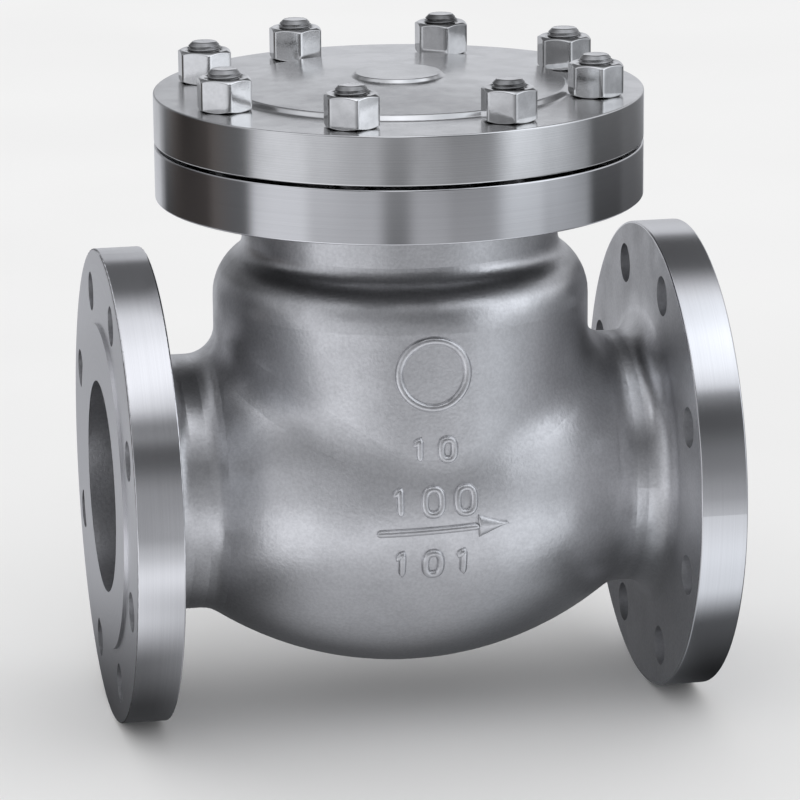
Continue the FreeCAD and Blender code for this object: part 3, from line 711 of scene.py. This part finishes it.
# The light tent round the valve, which only reflections see. It stands in the world and turns with nothing.
# A lamp of its wall is an azimuth in degrees, counted to the right from the photograph's side, and a light. A
# card of the low ring has a half width between them. Each row of lamps on the roof and on the mat has its
# distance toward the photograph's side and its lights at a few places from left to right.
TENT_R = 0.8
TENT_HEIGHT = 0.76
TENT_SIDES = 96
TENT_BASE = 0.35
LOW_CARDS = ((-155, 13, 0.68), (-114, 22, 0.05), (-80, 12, 0.12), (-54, 14, 0.8), (-24, 16, 0.55),
             (-1, 5, 0.18), (14, 8, 0.5), (33, 10, 0.42), (55, 11, 0.58), (80, 12, 0.42), (107, 13, 0.05),
             (140, 20, 0.1), (175, 14, 0.62))
CARD_EDGE = 3.5
MIDDLE_LAMPS = ((-180, 0.7), (-150, 0.5), (-110, 0.03), (-75, 0.15), (-55, 0.85), (-35, 0.8), (-15, 0.48),
                (5, 0.4), (25, 0.22), (38, 0.24), (52, 1.15), (68, 0.95), (95, 0.22), (130, 0.25), (180, 0.7))
HIGH_LAMPS = ((-180, 0.78), (-150, 0.3), (-110, 0.1), (-75, 0.45), (-55, 0.9), (-35, 0.25), (-15, 0.25),
              (5, 0.12), (25, 0.08), (38, 0.08), (52, 0.8), (68, 1.7), (95, 0.95), (130, 0.7), (180, 0.78))
TOP_LAMPS = ((-180, 0.14), (-90, 0.2), (-45, 0.55), (5, 0.35), (38, 0.2), (60, 1.2), (100, 0.6), (180, 0.14))
LOW_Z, MIDDLE_Z, HIGH_Z, UPPER_Z, TOP_Z = 0.05, 0.25, 0.5, 0.58, 0.7
ROOF_PLACES = (-0.6, -0.38, -0.2, 0.0, 0.2, 0.38, 0.6)
ROOF_LAMPS = ((-0.3, (0.45, 0.2, 0.14, 0.16, 0.1, 0.2, 0.7)),
              (0.0, (0.4, 0.85, 0.75, 1.2, 0.9, 1.5, 0.9)),
              (0.18, (0.6, 1.0, 0.6, 1.4, 0.75, 1.7, 1.1)),
              (0.38, (0.8, 1.1, 0.05, 1.45, 0.1, 1.45, 1.3)),
              (0.52, (0.9, 0.8, 0.05, 1.3, 0.3, 1.2, 1.1)),
              (0.74, (0.9, 0.1, 0.05, 0.3, 0.2, 0.2, 0.8)))
MAT_PLACES = (-0.6, -0.25, -0.12, -0.05, 0.05, 0.115, 0.155, 0.3, 0.6)
MAT_LAMPS = ((-0.6, (0.6, 0.45, 0.6, 0.8, 0.8, 0.6, 0.5, 0.5, 0.5)),
             (-0.2, (0.65, 0.5, 0.2, 0.1, 0.1, 0.2, 0.5, 0.7, 0.3)),
             (0.02, (0.7, 0.1, 0.05, 0.08, 0.08, 0.1, 0.02, 0.05, 0.5)),
             (0.08, (0.45, 0.1, 0.05, 0.42, 0.42, 0.42, 0.1, 0.2, 0.2)),
             (0.13, (0.45, 0.3, 0.15, 0.48, 0.5, 0.62, 0.95, 0.9, 0.3)),
             (0.2, (0.5, 1.0, 0.98, 0.6, 0.58, 0.8, 1.05, 1.05, 0.4)),
             (0.3, (0.8, 1.1, 1.1, 1.05, 1.0, 1.0, 1.0, 0.95, 0.6)),
             (0.45, (1.3, 1.15, 0.8, 0.7, 0.65, 0.7, 0.75, 0.75, 0.7)),
             (0.75, (1.5, 0.9, 0.5, 0.42, 0.4, 0.4, 0.4, 0.42, 0.6)))
TENT_TINT = (0.95, 0.967, 1.02)
COOL_TINT, COOL_AZIMUTH, COOL_HALF = (0.93, 0.966, 1.03), 70.0, (15, 45)
WARM_TINT, WARM_AZIMUTH, WARM_HALF, WARM_TOP = (1.06, 0.95, 0.92), -105.0, (12, 30), (0.2, 0.4)


def tent_axes(n, x, y):
    """How far a place lies toward the photograph's side and to its right."""
    c, s = math.cos(CAMERA_AZIMUTH), math.sin(CAMERA_AZIMUTH)
    ahead = n.minus(n.times(x, s), n.times(y, c))
    aside = n.plus(n.times(x, c), n.times(y, s))
    return ahead, aside


def card_ring(n, azimuth, cards):
    """Light along one ring of cards with soft edges."""
    total = TENT_BASE
    for angle, half, light in cards:
        off = n.math("WRAP", n.minus(azimuth, angle), -180.0, 180.0)
        off = n.math("ABSOLUTE", off)
        total = n.plus(n.ramp(off, half - CARD_EDGE, half + CARD_EDGE, light - TENT_BASE, 0.0), total)
    return total


def profile(n, value, lamps):
    """Light from one lamp to the next along one direction. The ramp's colours hold half of it."""
    low, high = lamps[0][0], lamps[-1][0]
    node = n.add("ShaderNodeValToRGB")
    elements = node.color_ramp.elements
    node.color_ramp.interpolation = "EASE"
    while len(elements) < len(lamps):
        elements.new(0.5)
    for element, (at, _) in zip(elements, lamps):
        element.position = (at - low) / (high - low)
    for element, (_, light) in zip(elements, lamps):
        element.color = (light / 2, light / 2, light / 2, 1.0)
    n.join(n.math("DIVIDE", n.minus(value, low), high - low), node.inputs[0])
    return n.times(node.outputs[0], 2.0)


def rows(n, ahead, aside, places, lamps):
    """Light of a roof or mat with rows of lamps."""
    last, lights = lamps[0]
    total = profile(n, aside, tuple(zip(places, lights)))
    for at, lights in lamps[1:]:
        total = n.mix(n.ramp(ahead, last, at), total, profile(n, aside, tuple(zip(places, lights))))
        last = at
    return total


def tent_material():
    material, n = new_material("light_tent")
    x, y, z = parts(n, coordinates(n))
    ahead, aside = tent_axes(n, x, y)
    azimuth = n.times(n.math("ARCTAN2", aside, ahead), 180 / math.pi)
    wall = n.mix(n.ramp(z, LOW_Z, MIDDLE_Z), card_ring(n, azimuth, LOW_CARDS), profile(n, azimuth, MIDDLE_LAMPS))
    wall = n.mix(n.ramp(z, MIDDLE_Z, HIGH_Z), wall, profile(n, azimuth, HIGH_LAMPS))
    wall = n.mix(n.ramp(z, UPPER_Z, TOP_Z), wall, profile(n, azimuth, TOP_LAMPS))
    above_mat = n.above(z, 1 * MM)
    light = n.mix(n.above(z, TENT_HEIGHT - 1 * MM), wall, rows(n, ahead, aside, ROOF_PLACES, ROOF_LAMPS))
    light = n.mix(above_mat, rows(n, ahead, aside, MAT_PLACES, MAT_LAMPS), light)
    cool = n.ramp(n.distance(azimuth, COOL_AZIMUTH), *COOL_HALF, 1.0, 0.0)
    warm = n.ramp(n.distance(azimuth, WARM_AZIMUTH), *WARM_HALF, 1.0, 0.0)
    warm = n.times(warm, n.times(above_mat, n.ramp(z, *WARM_TOP, 1.0, 0.0)))
    colour = n.mix_colour(cool, n.grey(light, TENT_TINT), n.grey(light, COOL_TINT))
    glow = n.add("ShaderNodeEmission")
    n.join(n.mix_colour(warm, colour, n.grey(light, WARM_TINT)), glow.inputs["Color"])
    n.finish(glow)
    material.cycles.emission_sampling = "NONE"
    return material


def stage_piece(name, vertices, faces, material):
    mesh = bpy.data.meshes.new(name)
    mesh.from_pydata(vertices, [], faces)
    mesh.materials.append(material)
    piece = bpy.data.objects.new(name, mesh)
    piece.location = (CENTRE_X, 0.0, FLOOR_Z)
    bpy.context.scene.collection.objects.link(piece)
    return piece


def tent():
    """A round tent of soft light cards and dark gaps, with a mat that is bright in front of the valve."""
    count = TENT_SIDES
    turns = [2 * math.pi * k / count for k in range(count)]
    ring = [(TENT_R * math.cos(turn), TENT_R * math.sin(turn)) for turn in turns]
    vertices = [(x, y, z) for z in (0.2 * MM, TENT_HEIGHT) for x, y in ring]
    faces = [(k, (k + 1) % count, count + (k + 1) % count, count + k) for k in range(count)]
    faces += [tuple(range(count)), tuple(range(count, 2 * count))]
    piece = stage_piece("light_tent", vertices, faces, tent_material())
    piece.visible_camera = False
    piece.visible_diffuse = False
    piece.visible_transmission = False
    piece.visible_volume_scatter = False
    piece.visible_shadow = False


def world():
    """Plain soft light, with a pale background."""
    scene_world = bpy.data.worlds.new("studio")
    scene_world.use_nodes = True
    bpy.context.scene.world = scene_world
    n = Nodes(scene_world.node_tree)
    path = n.add("ShaderNodeLightPath")
    soft = n.add("ShaderNodeBackground")
    soft.inputs["Color"].default_value = (1.0, 1.0, 1.0, 1.0)
    soft.inputs["Strength"].default_value = 1.08
    pale = n.add("ShaderNodeBackground")
    pale.inputs["Color"].default_value = (0.86, 0.865, 0.87, 1.0)
    seen = n.most(path.outputs["Is Camera Ray"], path.outputs["Is Transmission Ray"])
    seen = n.most(seen, path.outputs["Is Glossy Ray"])
    choose = n.add("ShaderNodeMixShader")
    n.join(seen, choose.inputs[0])
    n.join(soft.outputs[0], choose.inputs[1])
    n.join(pale.outputs[0], choose.inputs[2])
    n.finish(choose, "ShaderNodeOutputWorld")


def floor():
    """A wide pale floor."""
    material, n = new_material("pale_floor")
    paint = n.add("ShaderNodeBsdfDiffuse")
    n.join(n.grey(n.spread(n.noise(coordinates(n), 3.0, 2.0), 0.81, 0.83)), paint.inputs["Color"])
    n.finish(paint)
    reach = 30.0
    corners = [(-reach, -reach, 0), (reach, -reach, 0), (reach, reach, 0), (-reach, reach, 0)]
    stage_piece("floor", corners, [(0, 1, 2, 3)], material)


cast = cast_material()
fastener = bright_material("bright_fasteners", 0.72, 0.09)
dress(["valve_body"], body_material())
dress(["hinge_bracket", "hinge_arm"], cast)
dress(["cover"], turned_material("turned_cover", "Z", 0.70, 0.12))
dress(["disc", "disc_washer", "hinge_pin", "hinge_pin_washer"], turned_material("turned_parts", "X", 0.6, 0.22))
dress(["seat_ring"], turned_material("seat_facing", "X", 0.64, 0.14))
dress(["cover_studs", "cover_nuts", "bracket_bolts", "bracket_lock_washers", "hinge_pin_cotter", "disc_nut",
       "disc_cotter"], fastener)
dress(["arm_bush_left", "arm_bush_right"], bright_material("turned_bronze", 0.75, 0.28, (1.0, 0.78, 0.5)))
dress(["cover_gasket"], gasket_material())
cast_marks(cast)
fasteners("hexagon_nuts", "cover_nuts", nut_mesh, fastener)
cover_studs(bright_material("oiled_thread", 0.34, 0.34), fastener)
camera()
world()
tent()
floor()
bpy.context.scene.view_settings.view_transform = "Standard"
